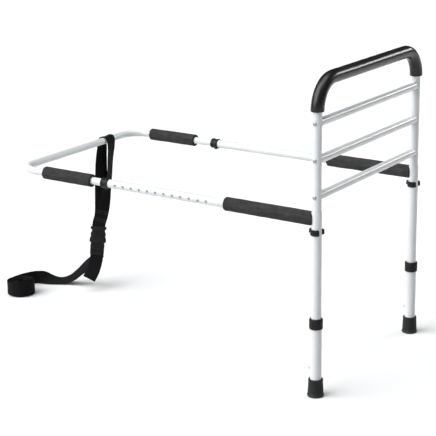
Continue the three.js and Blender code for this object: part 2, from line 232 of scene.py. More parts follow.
def zinc_plate():
    """Dull zinc with a fine grain and a slight blue cast."""
    f = Finish("zinc_plate", Metallic=1.0)
    cast = f.noise(160, 3, 0.6)
    f.colour(f.ramp(cast, (0.3, (0.34, 0.35, 0.37)), (0.7, (0.46, 0.465, 0.47))))
    f.roughness(f.between(f.noise(900, 2), 0.32, 0.55))
    f.bump((f.noise(2600, 1), 0.000008))
    return f.material


def foam_rubber():
    """Closed-cell foam: open cut cells, long skin streaks along the sleeve and a dusty mottle."""
    f = Finish("foam_sleeve", Sheen_Weight=0.04, Sheen_Roughness=0.5, Specular_IOR_Level=0.08)
    streaks = f.noise(1.0, 3, 0.6, f.stretched(14, 420, 420))
    mottle = f.noise(55, 4, 0.7)
    tone = f.sum("ADD", f.sum("MULTIPLY", streaks, 0.55), f.sum("MULTIPLY", mottle, 0.45))
    dark, mid, pale = (0.016, 0.016, 0.0165), (0.028, 0.0275, 0.027), (0.048, 0.0465, 0.045)
    f.colour(f.ramp(tone, (0.36, dark), (0.52, mid), (0.70, pale)))
    f.roughness(f.between(mottle, 0.72, 0.92))
    f.bump((f.cells(950), 0.00022), (streaks, 0.00012), (f.noise(240, 3), 0.00025))
    return f.material


def grip_rubber():
    """Smooth moulded grip skin: glossy black with faint drag marks and a soft grain."""
    f = Finish("grip_skin", Specular_IOR_Level=0.3)
    haze = f.noise(40, 4, 0.6)
    f.colour(f.ramp(haze, (0.35, (0.008, 0.008, 0.009)), (0.7, (0.016, 0.016, 0.017))))
    f.roughness(f.between(f.noise(26, 5, 0.7), 0.20, 0.32))
    f.bump((f.noise(700, 2), 0.00004), (f.noise(34, 2), 0.00015))
    return f.material


def moulded_plastic():
    """Black injection-moulded nylon with a fine spark texture."""
    f = Finish("moulded_plastic", Specular_IOR_Level=0.15)
    f.colour(f.ramp(f.noise(90, 3), (0.3, (0.006, 0.006, 0.0065)), (0.7, (0.012, 0.012, 0.013))))
    f.roughness(f.between(f.noise(300, 4, 0.7), 0.34, 0.55))
    f.bump((f.noise(1800, 2), 0.00003))
    return f.material


def foot_rubber():
    """Dull moulded rubber, a little dusty near the floor."""
    f = Finish("foot_rubber", Specular_IOR_Level=0.2)
    height = f.node("SeparateXYZ", {"Vector": f.place}).outputs["Z"]
    low = f.node("MapRange", {"Value": height, "From Min": 0.012, "From Max": 0.0}).outputs["Result"]
    dust = f.sum("MULTIPLY", low, f.noise(120, 4, 0.7))
    f.colour(f.ramp(dust, (0.0, (0.010, 0.011, 0.012)), (0.8, (0.040, 0.038, 0.035))))
    f.roughness(f.between(f.noise(150, 4), 0.42, 0.70))
    f.bump((f.noise(1300, 2), 0.00004))
    return f.material


def webbing():
    """Woven strap, from the piece's own (across, along) measure: ribs along it, picks across each rib."""
    f = Finish("webbing", Sheen_Weight=0.015, Sheen_Roughness=0.4, Specular_IOR_Level=0.05)
    rib, pick = 0.0016, 0.0021
    measure = f.node("Attribute", attribute_name="strap").outputs["Vector"]
    parts = f.node("SeparateXYZ", {"Vector": measure})
    across, along = parts.outputs["X"], parts.outputs["Y"]
    column = f.sum("DIVIDE", across, rib)
    ridge = f.sum("PINGPONG", column, 0.5)
    twill = f.sum("ADD", f.sum("DIVIDE", along, pick), f.sum("MULTIPLY", f.sum("FLOOR", column), 0.5))
    thread = f.sum("PINGPONG", twill, 0.5)
    weave = f.sum("MULTIPLY", ridge, f.sum("ADD", thread, 0.35))
    fuzz = f.noise(400, 4, 0.7)
    tone = f.sum("ADD", f.sum("MULTIPLY", weave, 1.6), f.sum("MULTIPLY", fuzz, 0.35))
    f.colour(f.ramp(tone, (0.15, (0.003, 0.003, 0.0034)), (0.75, (0.011, 0.011, 0.012))))
    f.roughness(f.between(fuzz, 0.55, 0.8))
    f.bump((weave, 0.0006), (fuzz, 0.0001))
    return f.material


def thread():
    """Bonded nylon sewing thread, a shade lighter than the strap."""
    f = Finish("sewing_thread", Sheen_Weight=0.3, Sheen_Roughness=0.4)
    twist = f.noise(1.0, 2, 0.6, f.stretched(900, 900, 2500))
    f.colour(f.ramp(twist, (0.3, (0.02, 0.02, 0.021)), (0.7, (0.05, 0.05, 0.052))))
    f.roughness(f.between(twist, 0.45, 0.65))
    f.bump((twist, 0.0001))
    return f.material


finishes = {
    "white_steel": powder_coat(),
    "hardware": zinc_plate(),
    "foam": foam_rubber(),
    "grip": grip_rubber(),
    "black_plastic": moulded_plastic(),
    "foot_rubber": foot_rubber(),
    "webbing": webbing(),
}
sewing_thread = thread()
# the U tube's coat, with painted shade for the rail holes
rail_hole_shaded_steel = rail_hole_shade_coat()


# ---- meshes ----
def as_object(name, vertices, faces, slot, smooth_below=38):
    """A smooth-shaded object in the row frame, with edges sharper than smooth_below degrees kept."""
    mesh = bpy.data.meshes.new(name)
    mesh.from_pydata([tuple(v) for v in vertices], [], faces)
    tidy = bmesh.new()
    tidy.from_mesh(mesh)
    bmesh.ops.recalc_face_normals(tidy, faces=tidy.faces)
    tidy.to_mesh(mesh)
    tidy.free()
    mesh.materials.append(finishes[slot])
    shade(mesh, smooth_below)
    made = bpy.data.objects.new(name, mesh)
    bpy.context.scene.collection.objects.link(made)
    return made


def shade(mesh, smooth_below=38):
    mesh.shade_smooth()
    mesh.set_sharp_from_angle(angle=math.radians(smooth_below))


def place(piece, body, slot, *nodes):
    """The piece rides on its body and stands for these CAD nodes; slot is not used."""
    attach(piece, body)
    if nodes:
        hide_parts(*nodes)
    return piece


def skin(rings, closed=False):
    """Vertices and faces over rings of points. Closed joins last ring to first, or else both get a cap."""
    rings = np.asarray(rings, float)
    count, around = rings.shape[:2]
    faces = []
    for i in range(count if closed else count - 1):
        a, b = i * around, (i + 1) % count * around
        for k in range(around):
            n = (k + 1) % around
            faces.append((a + k, a + n, b + n, b + k))
    if not closed:
        faces.append(tuple(range(around)))
        faces.append(tuple((count - 1) * around + k for k in range(around)))
    return rings.reshape(-1, 3), faces


def rounded_line(corners, radius, step):
    """Points along a line whose corners are rounded to the radius, about step apart on the straights."""
    corners = [Vector(c) for c in corners]
    points = [corners[0]]
    for before, corner, after in zip(corners, corners[1:], corners[2:]):
        back, on = (before - corner).normalized(), (after - corner).normalized()
        turn = math.pi - back.angle(on)
        reach = radius * math.tan(turn / 2)
        start, centre = corner + back * reach, corner + (back + on).normalized() * radius / math.cos(turn / 2)
        spoke, axis = start - centre, back.cross(on)
        bends = 24
        points += [centre + Matrix.Rotation(-turn * i / bends, 3, axis) @ spoke for i in range(bends + 1)]
    points.append(corners[-1])
    line = [points[0]]
    for a, b in zip(points, points[1:]):
        pieces = max(1, round((b - a).length / step))
        line += [a.lerp(b, i / pieces) for i in range(1, pieces + 1)]
    return np.array(line)


def tangents(line):
    ahead = np.diff(line, axis=0)
    ahead /= np.linalg.norm(ahead, axis=1)[:, None]
    mean = np.vstack([ahead[:1], ahead[:-1] + ahead[1:], ahead[-1:]])
    return mean / np.linalg.norm(mean, axis=1)[:, None]


def rings_along(line, normal, radii, sides):
    """A ring round each point of a line that lies in a plane with that normal."""
    along = tangents(line)
    out = np.tile(np.array(normal, float), (len(line), 1))
    up = np.cross(along, out)
    angle = np.linspace(0, 2 * math.pi, sides, endpoint=False)
    spokes = out[:, None] * np.cos(angle)[None, :, None] + up[:, None] * np.sin(angle)[None, :, None]
    return line[:, None] + spokes * np.asarray(radii, float).reshape(len(line), -1, 1)


def tube(name, line, normal, outer, inner, slot, rim=0.0003, wobble=None, sides=round_sides):
    """A tube or sleeve with a rounded rim at both ends. wobble(points) moves the outer skin's points."""
    line = np.asarray(line, float)
    first, last = line[1] - line[0], line[-2] - line[-1]
    steps = np.array([0.3, 1, 1.5])[:, None] * rim  # the third keeps the rim's slope out of the long faces
    near_first = line[0] + first / np.linalg.norm(first) * steps
    near_last = line[-1] + last / np.linalg.norm(last) * steps[::-1]
    line = np.vstack([line[:1], near_first, line[1:-1], near_last, line[-1:]])
    inset = np.zeros(len(line))
    inset[[0, 1, -2, -1]] = np.array([1, 0.3, 0.3, 1]) * rim
    outside = rings_along(line, normal, outer - inset, sides)
    if wobble:
        outside = wobble(outside)
    inside = rings_along(line, normal, inner + inset, sides)[::-1]
    return as_object(name, *skin(np.concatenate([outside, inside]), closed=True), slot)


def coped(piece, axis, end, way, radius, least=0.0):
    """Shapes the end of a piece along one axis round an upright of that radius, with its centre line at end.

    way is the direction into the piece, and the end stays at least least from the centre line.
    """
    fade = 0.03  # the length of the piece that takes up the change
    points = np.array([v.co for v in piece.data.vertices])
    if axis == 0:
        off = points[:, 1] - math.copysign(half_width, points[:, 1].mean())
    else:
        off = points[:, 0] - upright_x
    reach = np.sqrt(np.maximum(radius**2 - off**2, least**2))
    depth = (points[:, axis] - end) * way
    points[:, axis] += way * reach * np.clip(1 - depth / fade, 0, 1)
    piece.data.vertices.foreach_set("co", points.ravel())
    piece.data.update()
    return piece


def lathe(name, profile, slot, start, along, sides=round_sides):
    """A solid of revolution: profile is (radius, distance) points from start in the direction along.

    It runs from the axis to the axis, or round a ring.
    """
    profile = np.asarray(profile, float)
    ring = profile[0, 0] > 0
    along = Vector(along).normalized()
    turn = along.to_track_quat("Z", "Y").to_matrix()
    angle = np.linspace(0, 2 * math.pi, sides, endpoint=False)
    used = profile if ring else profile[1:-1]
    x, y = np.outer(used[:, 0], np.cos(angle)), np.outer(used[:, 0], np.sin(angle))
    rings = np.stack([x, y, np.tile(used[:, 1:], sides)], axis=-1)
    vertices, faces = skin(rings, closed=ring)
    vertices = vertices @ np.array(turn).T + np.array(start)
    return as_object(name, vertices, faces, slot)


def joined(name, pieces):
    """One object from several, with the first one's material."""
    meshes = bmesh.new()
    for other in pieces:
        meshes.from_mesh(other.data)
    mesh = bpy.data.meshes.new(name)
    meshes.to_mesh(mesh)
    meshes.free()
    mesh.materials.append(pieces[0].data.materials[0])
    made = bpy.data.objects.new(name, mesh)
    bpy.context.scene.collection.objects.link(made)
    for other in pieces:
        bpy.data.objects.remove(other)
    shade(mesh)
    return made


def cut(piece, tools):
    """The piece with the tools cut from it, and the tools removed."""
    for tool in tools:
        step = piece.modifiers.new("cut", "BOOLEAN")
        step.operation, step.solver, step.object = "DIFFERENCE", "EXACT", tool
    bpy.context.view_layer.update()
    mesh = bpy.data.meshes.new_from_object(piece.evaluated_get(bpy.context.evaluated_depsgraph_get()))
    piece.modifiers.clear()
    name, piece.data = piece.data.name, mesh
    mesh.name = name
    shade(mesh)
    for tool in tools:
        bpy.data.objects.remove(tool)
    return piece


def drill(start, along, length):
    """A cutter for one round hole, from inside the tube to past its wall."""
    profile = [(0, 0), (hole_r, 0), (hole_r, length), (0, length)]
    return lathe("drill", profile, "hardware", start, along, sides=28)


def superellipse(half_x, half_y, power):
    """An outline between an ellipse (power 2) and a rectangle, which it nears as the power rises."""
    angle = np.linspace(0, 2 * math.pi, 48, endpoint=False)
    c, s = np.cos(angle), np.sin(angle)
    x, y = np.sign(c) * np.abs(c) ** (2 / power), np.sign(s) * np.abs(s) ** (2 / power)
    return np.stack([half_x * x, half_y * y], axis=-1)


def lofted(name, stations, slot, to_row, power=4.0):
    """A moulded body through rounded sections, in the local axes that to_row turns into the row frame.

    Each station is (height, half width, half depth, centre across, centre out).
    """
    rings = []
    for height, half_x, half_y, *centre in stations:
        dx, dy = (*centre, 0, 0)[:2]
        outline = superellipse(half_x, half_y, power)
        rings.append([(x + dx, y + dy, height) for x, y in outline])
    vertices, faces = skin(rings)
    vertices = [to_row @ Vector(v) for v in vertices]
    return as_object(name, vertices, faces, slot, smooth_below=50)


def block(low, high, to_row):
    """A plain cutter between two corners in local axes."""
    (x0, y0, z0), (x1, y1, z1) = low, high
    rings = [[(x0, y0, z), (x1, y0, z), (x1, y1, z), (x0, y1, z)] for z in (z0, z1)]
    vertices, faces = skin(rings)
    return as_object("block", [to_row @ Vector(v) for v in vertices], faces, "black_plastic")


def soft_skin(depth, size, seed):
    """A wobble for a soft sleeve: its skin wanders by depth over lengths of about size."""
    waves = 7

    def wobble(rings):
        shape = rings.shape
        flat = rings.reshape(-1, 3)
        rng = np.random.default_rng(seed)
        offset = np.zeros(len(flat))
        for _ in range(waves):
            direction = rng.normal(size=3)
            wave = direction / np.linalg.norm(direction) * 2 * math.pi / (size * rng.uniform(0.7, 1.6))
            offset += np.sin(flat @ wave + rng.uniform(0, 2 * math.pi)) / waves
        outward = rings - rings.mean(axis=1, keepdims=True)
        outward /= np.linalg.norm(outward, axis=2, keepdims=True)
        return rings + outward * (offset * depth).reshape(*shape[:2], 1)
    return wobble


# ---- the strap ----
loop_route = [
    (-0.9224, 0.0855, 0.186, 34),
    (-0.9216, 0.0876, 0.200, 36),
    (-0.9196, 0.0964, 0.221, 42),
    (-0.9155, 0.104, 0.250, 60),
    (-0.912, 0.116, 0.296, 85),
    (-0.908, 0.127, 0.341, 104),
    (-0.904, 0.128, 0.385, 103),
    (-0.9004, 0.130, 0.425, 96),
    (-0.900, 0.129, 0.440, 93),
    (-0.9032, 0.127, 0.4502, 90),
    (-0.912, 0.124, 0.4542, 90),
    (-0.9208, 0.121, 0.4502, 90),
    (-0.924, 0.119, 0.440, 88),
    (-0.9236, 0.117, 0.425, 84),
    (-0.923, 0.110, 0.385, 72),
    (-0.923, 0.107, 0.341, 62),
    (-0.923, 0.105, 0.296, 52),
    (-0.9217, 0.0976, 0.221, 40),
    (-0.9232, 0.0892, 0.200, 36),
    (-0.9235, 0.0871, 0.186, 34),
]
tail_route = [
    (-0.9254, 0.0758, 0.1074, 34),
    (-0.9252, 0.074, 0.100, 34.5),
    (-0.9264, 0.071, 0.087, 36),
    (-0.928, 0.060, 0.063, 40),
    (-0.931, 0.042, 0.041, 44),
]
# The lead leaves the clip behind the tail, slopes to the floor and stands up on its edge round the roll.
lead_route = [
    (-0.927, 0.078, 0.106, 0),
    (-0.929, 0.081, 0.099, 0),
    (-0.933, 0.087, 0.092, -10),
    (-0.945, 0.091, 0.085, -35),
    (-0.962, 0.089, 0.073, -48),
    (-0.985, 0.084, 0.052, -45),
    (-1.010, 0.079, 0.029, -37),
    (-1.035, 0.072, 0.012, -24),
    (-1.060, 0.061, 0.007, -14),
    (-1.080, 0.048, 0.011, -30),
    (-1.100, 0.031, 0.019, -68),
    (-1.120, 0.006, 0.021, -88),
    (-1.133, -0.030, 0.021, -90),
    (-1.136, -0.066, 0.0205, -90),
]
roll_pitch = 0.00205  # from one turn of the rolled strap to the next
roll_core_r = 0.0085
route_step = 0.003  # along a strap, from one row of points to the next


def hanging(turn, run):
    """The strap's width where it hangs: level, and turned from +X."""
    return np.stack([np.cos(turn), np.sin(turn), np.zeros(len(run))], axis=1)


def leaning(lean, run):
    """The strap's width where it runs along: square to the run, and leaning from level."""
    level = np.cross((0, 0, 1), run)
    level /= np.linalg.norm(level, axis=1)[:, None]
    rise = np.cross(run, level)
    return level * np.cos(lean)[:, None] + rise * np.sin(lean)[:, None]


def smooth_route(stations, width=hanging):
    """(points, across) about route_step apart along a centripetal curve through listed stations.

    Each is x from the uprights, y, z and an angle in degrees that width turns into the strap's width.
    """
    rows = np.array(stations, float)
    knots = np.concatenate([[0], np.cumsum(np.sqrt(np.linalg.norm(np.diff(rows[:, :3], axis=0), axis=1)))])
    span = np.diff(knots)[:, None]
    slope = np.diff(rows, axis=0) / span
    inner = (slope[1:] * span[:-1] + slope[:-1] * span[1:]) / (span[:-1] + span[1:])
    slopes = np.vstack([slope[:1], inner, slope[-1:]])
    fine = []
    t = np.linspace(0, 1, 24, endpoint=False)[:, None]  # along one stretch of the curve
    for i in range(len(rows) - 1):
        fine.append(
            (2 * t**3 - 3 * t**2 + 1) * rows[i]
            + (t**3 - 2 * t**2 + t) * span[i] * slopes[i]
            + (3 * t**2 - 2 * t**3) * rows[i + 1]
            + (t**3 - t**2) * span[i] * slopes[i + 1]
        )
    fine = np.vstack([*fine, rows[-1:]])
    run = np.concatenate([[0], np.cumsum(np.linalg.norm(np.diff(fine[:, :3], axis=0), axis=1))])
    even = np.linspace(0, run[-1], max(2, round(run[-1] / route_step)) + 1)
    rows = np.stack([np.interp(even, run, fine[:, k]) for k in range(4)], axis=1)
    return rows[:, :3] + (upright_x, 0, 0), width(np.radians(rows[:, 3]), tangents(rows[:, :3]))


def rolled(start, centre):
    """(points, across) of the strap on edge, wound from start about the centre until its core."""
    spoke = start[:2] - centre[:2]
    radius, angle = float(np.linalg.norm(spoke)), math.atan2(spoke[1], spoke[0])
    points = []
    while radius > roll_core_r:
        turn = route_step / radius
        angle += turn
        radius -= roll_pitch * turn / (2 * math.pi)
        lift = 0.0004 * (1 + math.sin(1.7 * angle)) + 0.0003 * (1 + math.sin(0.31 * angle))
        x, y = centre[0] + radius * math.cos(angle), centre[1] + radius * math.sin(angle)
        points.append((x, y, start[2] + lift))
    return np.array(points), np.tile((0.0, 0.0, -1.0), (len(points), 1))


def strap_frames(points, across):
    """(width direction, face normal) at each point, square to the strap's run."""
    along = tangents(points)
    across = across - (across * along).sum(1)[:, None] * along
    across /= np.linalg.norm(across, axis=1)[:, None]
    return across, np.cross(along, across)


def ribbon(name, points, across):
    """A strip of webbing: a thin woven selvedge, a slight crown and its own (across, along) measure."""
    across, normal = strap_frames(points, across)
    u = np.linspace(-1, 1, 21)
    u = np.sign(u) * np.abs(u) ** 0.8
    half = strap_thickness / 2 * (1 - 0.6 * np.abs(u) ** 14)
    crown = 0.0005 * (1 - u**2)
    section = np.vstack([np.stack([u, crown + half], 1), np.stack([u, crown - half], 1)[::-1]])
    sideways = section[:, 0] * strap_width / 2
    rings = points[:, None] + across[:, None] * sideways[None, :, None]
    rings = rings + normal[:, None] * section[None, :, 1:]
    made = as_object(name, *skin(rings), "webbing", 60)
    run = np.concatenate([[0], np.cumsum(np.linalg.norm(np.diff(points, axis=0), axis=1))])
    measure = np.zeros((len(points), len(section), 3))
    measure[..., 0], measure[..., 1] = sideways[None, :], run[:, None]
    attribute = made.data.attributes.new("strap", "FLOAT_VECTOR", "POINT")
    attribute.data.foreach_set("vector", measure.astype(np.float32).ravel())
    return made, float(run[-1])


def stitches(name, points, across, heights, side):
    """Rows of thread across the strap where it passes these heights, on the face that side points to."""
    bead = [(0, -0.0012), (0.00028, -0.001), (0.0004, -0.0006)]
    bead += [(radius, -run) for radius, run in reversed(bead)]
    places = np.linspace(-0.0145, 0.0145, 11)
    across, normal = strap_frames(points, across)
    made = []
    for height in heights:
        i = int(np.abs(points[:, 2] - height).argmin())
        out = Vector(normal[i] * side)
        along = Vector(across[i])
        for sideways in places:
            centre = Vector(points[i]) + along * sideways + out * (strap_thickness / 2 + 0.0004)
            made.append(lathe("stitch", bead, "webbing", centre, along, sides=8))
    piece = joined(name, made)
    piece.data.materials.clear()
    piece.data.materials.append(sewing_thread)
    return piece


def add_strap():
    """The loop with its stitching, the tail, and the lead with its rolled end."""
    points, across = smooth_route(loop_route)
    loop, length = ribbon("strap_loop_webbing", points, across)
    place(loop, "u_frame", "webbing", "strap_loop")
    front = slice(0, len(points) // 3)
    rear = slice(2 * len(points) // 3, None)
    rows = (0.206, 0.212, 0.228, 0.234)  # heights of the stitching
    towards_handle = np.array([0.55, -0.82, 0])  # out of the loop's front layer
    seams = []
    for tag, part in (("front", front), ("rear", rear)):
        side = -1 if tag == "front" else 1
        outward = strap_frames(points[part], across[part])[1][0]
        face = math.copysign(1, outward @ towards_handle) * -side
        seams.append(stitches(f"loop_stitches_{tag}", points[part], across[part], rows, face))
        place(seams[-1], "u_frame", "webbing")
    for soft in (loop, *seams):
        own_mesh(soft)

    tail, length = ribbon("strap_tail_webbing", *smooth_route(tail_route))
    place(tail, "u_frame", "webbing", "strap_tail")

    points, across = smooth_route(lead_route, leaning)
    more = rolled(points[-1], np.array(middle("strap_roll")))
    points, across = np.vstack([points, more[0]]), np.vstack([across, more[1]])
    lead, length = ribbon("strap_lead_webbing", points, across)
    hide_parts("strap_lead", "strap_roll")
    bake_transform(lead)


# ---- the buckle ----
buckle_turn = math.radians(34)  # of the hanging buckle about Z, from +X


def buckle_axes():
    """Local axes of the buckle: X across it, Y through it and Z up the strap, from the top of the socket."""
    joint = next(j for j in frame["joints"] if j["name"] == "buckle_release")
    up = Vector(joint["axis"]).normalized()
    out = up.cross(Vector((math.cos(buckle_turn), math.sin(buckle_turn), 0))).normalized()
    across = out.cross(up)
    socket_middle = 0.0185  # from the origin to the middle of the socket
    origin = middle("buckle_socket") + up * socket_middle
    turn = Matrix((across, out, up)).transposed().to_4x4()
    return Matrix.Translation(origin) @ turn


def add_buckle():
    """The socket and the clip, in millimetres along the buckle's own axes."""
    local = buckle_axes()
    mm = 0.001
    body = [
        (6.0, 21.6, 2.6), (5.2, 22.7, 3.5), (4.0, 23.0, 3.8), (-0.5, 23.0, 3.8), (-1.6, 22.6, 3.5),
        (-2.6, 20.2, 3.2), (-3.6, 18.9, 3.1), (-6.5, 18.9, 3.3), (-9.0, 19.6, 4.2), (-11.5, 21.0, 5.0),
        (-14.5, 21.9, 5.4), (-20, 22.0, 5.5), (-34, 22.0, 5.5), (-40, 21.6, 5.4), (-42.2, 21.0, 5.0),
        (-43.0, 20.2, 4.4),
    ]
    socket = lofted("buckle_socket_body", [tuple(v * mm for v in s) for s in body], "black_plastic", local)
    cuts = [((-19.6, -2.4, -1.2), (19.6, 2.4, 8.0)), ((-18.4, -3.7, -45), (18.4, 3.7, -12.5))]
    cuts += [((x - 6, -3.7, -45), (x + 6, 3.7, -20.5)) for x in (-21, 21)]
    tools = [block([v * mm for v in low], [v * mm for v in high], local) for low, high in cuts]
    socket = cut(socket, tools)
    relief = [(-16.5, 13.6, 0.2), (-17.2, 14.0, 0.5), (-33.0, 14.0, 0.5), (-33.8, 13.6, 0.2)]
    pads = []
    for way in (-1, 1):
        stations = [(h * mm, x * mm, d * mm, 0, way * 5.4 * mm) for h, x, d in relief]
        pads.append(lofted("relief", stations, "black_plastic", local))
    place(joined("buckle_socket_body", [socket, *pads]), "buckle_socket", "black_plastic", "buckle_socket")

    base = [
        (-44.8, 19.6, 4.2), (-45.8, 20.4, 4.6), (-49.0, 20.6, 4.7), (-62, 20.4, 4.7), (-70, 20.2, 4.4),
        (-76, 20.0, 4.2), (-77.6, 19.8, 3.8), (-78.4, 19.4, 3.2),
    ]
    clip = lofted("buckle_clip_body", [tuple(v * mm for v in s) for s in base], "black_plastic", local)
    recesses = [
        block((-0.01925, y - 0.003, -0.0697), (0.01925, y + 0.003, -0.0643), local) for y in (-0.0055, 0.0055)
    ]
    clip = cut(clip, recesses)
    parts = [clip]
    rib = [(-0.9, 14, 0.2), (-0.5, 14.6, 0.55), (0.5, 14.6, 0.55), (0.9, 14, 0.2)]
    for row in range(4):
        height = -50.5 - 3.2 * row
        for way in (-1, 1):
            stations = [((height + h) * mm, x * mm, d * mm, 0, way * 4.9 * mm) for h, x, d in rib]
            parts.append(lofted("rib", stations, "black_plastic", local))
    guide = [(-26.4, 9.4, 1.6), (-27.4, 10.6, 2.6), (-46.8, 11.0, 2.8)]
    parts.append(lofted("guide", [tuple(v * mm for v in s) for s in guide], "black_plastic", local, 6))
    for way in (-1, 1):
        arm = [
            (-22.2, 1.6, 1.8, 17.0), (-23.4, 3.2, 2.6, 17.8), (-26.5, 4.1, 2.8, 18.5), (-31, 4.3, 2.8, 19.4),
            (-37, 4.2, 2.8, 20.0), (-40.5, 3.4, 2.8, 19.4), (-43, 2.2, 2.7, 16.6), (-47.0, 2.4, 2.8, 15.4),
        ]
        stations = [(h * mm, x * mm, d * mm, way * c * mm) for h, x, d, c in arm]
        parts.append(lofted("prong", stations, "black_plastic", local, 5))
    place(joined("buckle_clip_body", parts), "u_frame", "black_plastic", "buckle_clip")


# ---- the handle and its crossbars ----
def hoop_line(foot_z, step):
    places = ((-1, foot_z), (-1, handle_z), (1, handle_z), (1, foot_z))
    corners = [from_uprights(0, side * half_width, z) for side, z in places]
    return rounded_line(corners, handle_bend_r, step)


def add_handle():
    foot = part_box("handle_tube")[0].z
    steel = tube("handle_steel", hoop_line(foot, 0.06), axis_x, handle_r, handle_r - wall, "white_steel")
    place(steel, "uprights", "white_steel", "handle_tube")
    grip_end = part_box("handle_grip")[0].z
    line = hoop_line(foot, 0.004)
    line = line[line[:, 2] > grip_end - 0.0005]
    lumps = soft_skin(0.00025, 0.03, 4)
    grip = tube("handle_grip_skin", line, axis_x, grip_r, handle_r + play, "grip", rim=0.0018, wobble=lumps)
    place(grip, "uprights", "grip", "handle_grip")


def add_crossbar(name):
    height = middle(f"crossbar_{name}").z
    line = [from_uprights(0, y, height) for y in (-half_width, half_width)]
    bar = tube(f"crossbar_{name}_steel", line, axis_z, crossbar_r, crossbar_r - wall, "white_steel")
    for side in ends.values():
        coped(bar, 1, side * half_width, -side, handle_r + play)
    place(bar, "uprights", "white_steel", f"crossbar_{name}")
    for end, side in ends.items():
        add_bolt(f"{name}_{end}", side, height)


def add_bolt(tag, side, height):
    """A dome-headed bolt with a hexagon socket."""
    bolt_r, head_r = 0.0025, 0.0047
    face = half_width + handle_r + play
    tip = abs(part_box(f"crossbar_bolt_{tag}")[0 if side > 0 else 1].y)
    start = from_uprights(0, side * tip, height)
    reach = face - tip
    dome = [
        (0, 0), (bolt_r * 0.7, 0), (bolt_r, 0.0006), (bolt_r, reach), (head_r - 0.0002, reach),
        (head_r, reach + 0.0003), (head_r, reach + 0.0008), (head_r * 0.93, reach + 0.0014),
        (head_r * 0.76, reach + 0.0020), (head_r * 0.5, reach + 0.0024), (0, reach + 0.0025),
    ]
    bolt = lathe(f"crossbar_bolt_{tag}_head", dome, "hardware", start, axis_y * side, 40)
    key_r, floor, mouth = 0.0015, reach + 0.0009, reach + 0.004
    key = [(0, floor), (key_r, floor), (key_r, mouth), (0, mouth)]
    socket = lathe("socket", key, "hardware", start, axis_y * side, sides=6)
    bolt = cut(bolt, [socket])
    place(bolt, "uprights", "hardware", f"crossbar_bolt_{tag}")


# ---- posts, rails and what is on them ----
def add_post(end, side):
    low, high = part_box(f"post_{end}")
    line = [from_uprights(0, side * half_width, z) for z in (low.z, high.z)]
    post = tube(f"post_{end}_steel", line, axis_x, post_r, post_r - wall, "white_steel", rim=0.00045)
    place(post, "uprights", "white_steel", f"post_{end}")


def add_rail(end, side):
    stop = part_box(f"rail_{end}")[0].x
    y = side * half_width
    count = round((upright_x - stop) / (hole_pitch / 2))
    line = [Vector((upright_x + (stop - upright_x) * i / count, y, rail_z)) for i in range(count + 1)]
    rail = tube(f"rail_{end}_steel", line, axis_z, rail_r, rail_r - wall, "white_steel", sides=48)
    coped(rail, 0, upright_x, -1, post_r + play)
    tools = []
    for i in range(rail_holes):
        start = from_uprights(i * hole_pitch - first_rail_hole, y + side * 0.004, rail_z)
        tools.append(drill(start, axis_y * side, 0.012))
    rail = cut(rail, [joined("drills", tools)])
    place(rail, "uprights", "white_steel", f"rail_{end}")


def add_sleeve(name, node, body, radius, inner, side, seed, post_end=False):
    low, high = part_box(node)
    start = upright_x if post_end else high.x
    count = round((start - low.x) / 0.004)
    y = side * half_width
    line = [Vector((start + (low.x - start) * i / count, y, rail_z)) for i in range(count + 1)]
    lumps = soft_skin(0.0004, 0.028, seed)
    sleeve = tube(name, line, axis_z, radius, inner, "foam", rim=0.0016, wobble=lumps)
    if post_end:
        coped(sleeve, 0, upright_x, -1, post_r + play, 0.0065)
    place(sleeve, body, "foam", node)


def add_rail_collar(end, side):
    """The bush in the end of the rail: a flanged ring with a thumb tab below."""
    low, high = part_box(f"rail_collar_{end}")
    outer = 0.0136
    length = high.x - low.x
    lip = rail_r + play
    profile = [
        (lip, 0), (outer - 0.0006, 0), (outer, 0.0006), (outer, 0.0040), (outer - 0.0009, 0.0048),
        (outer - 0.0009, length - 0.0062), (outer, length - 0.0054), (outer, length - 0.0008),
        (outer - 0.0008, length), (u_tube_r + play, length), (u_tube_r + play, length - 0.0056),
        (lip, length - 0.0056),
    ]
    start = Vector((high.x, side * half_width, rail_z))
    ring = lathe(f"rail_collar_{end}_bush", profile, "black_plastic", start, -axis_x)
    to_row = Matrix.Translation(Vector(((low.x + high.x) / 2, side * half_width, rail_z - outer)))
    tab = [
        (-0.0030, 0.0038, 0.0018), (-0.0026, 0.0044, 0.0024), (0.0, 0.0046, 0.0026),
        (0.0012, 0.0050, 0.0030),
    ]
    place(joined(f"rail_collar_{end}_bush", [ring, lofted("tab", tab, "black_plastic", to_row)]),
          "uprights", "black_plastic", f"rail_collar_{end}")


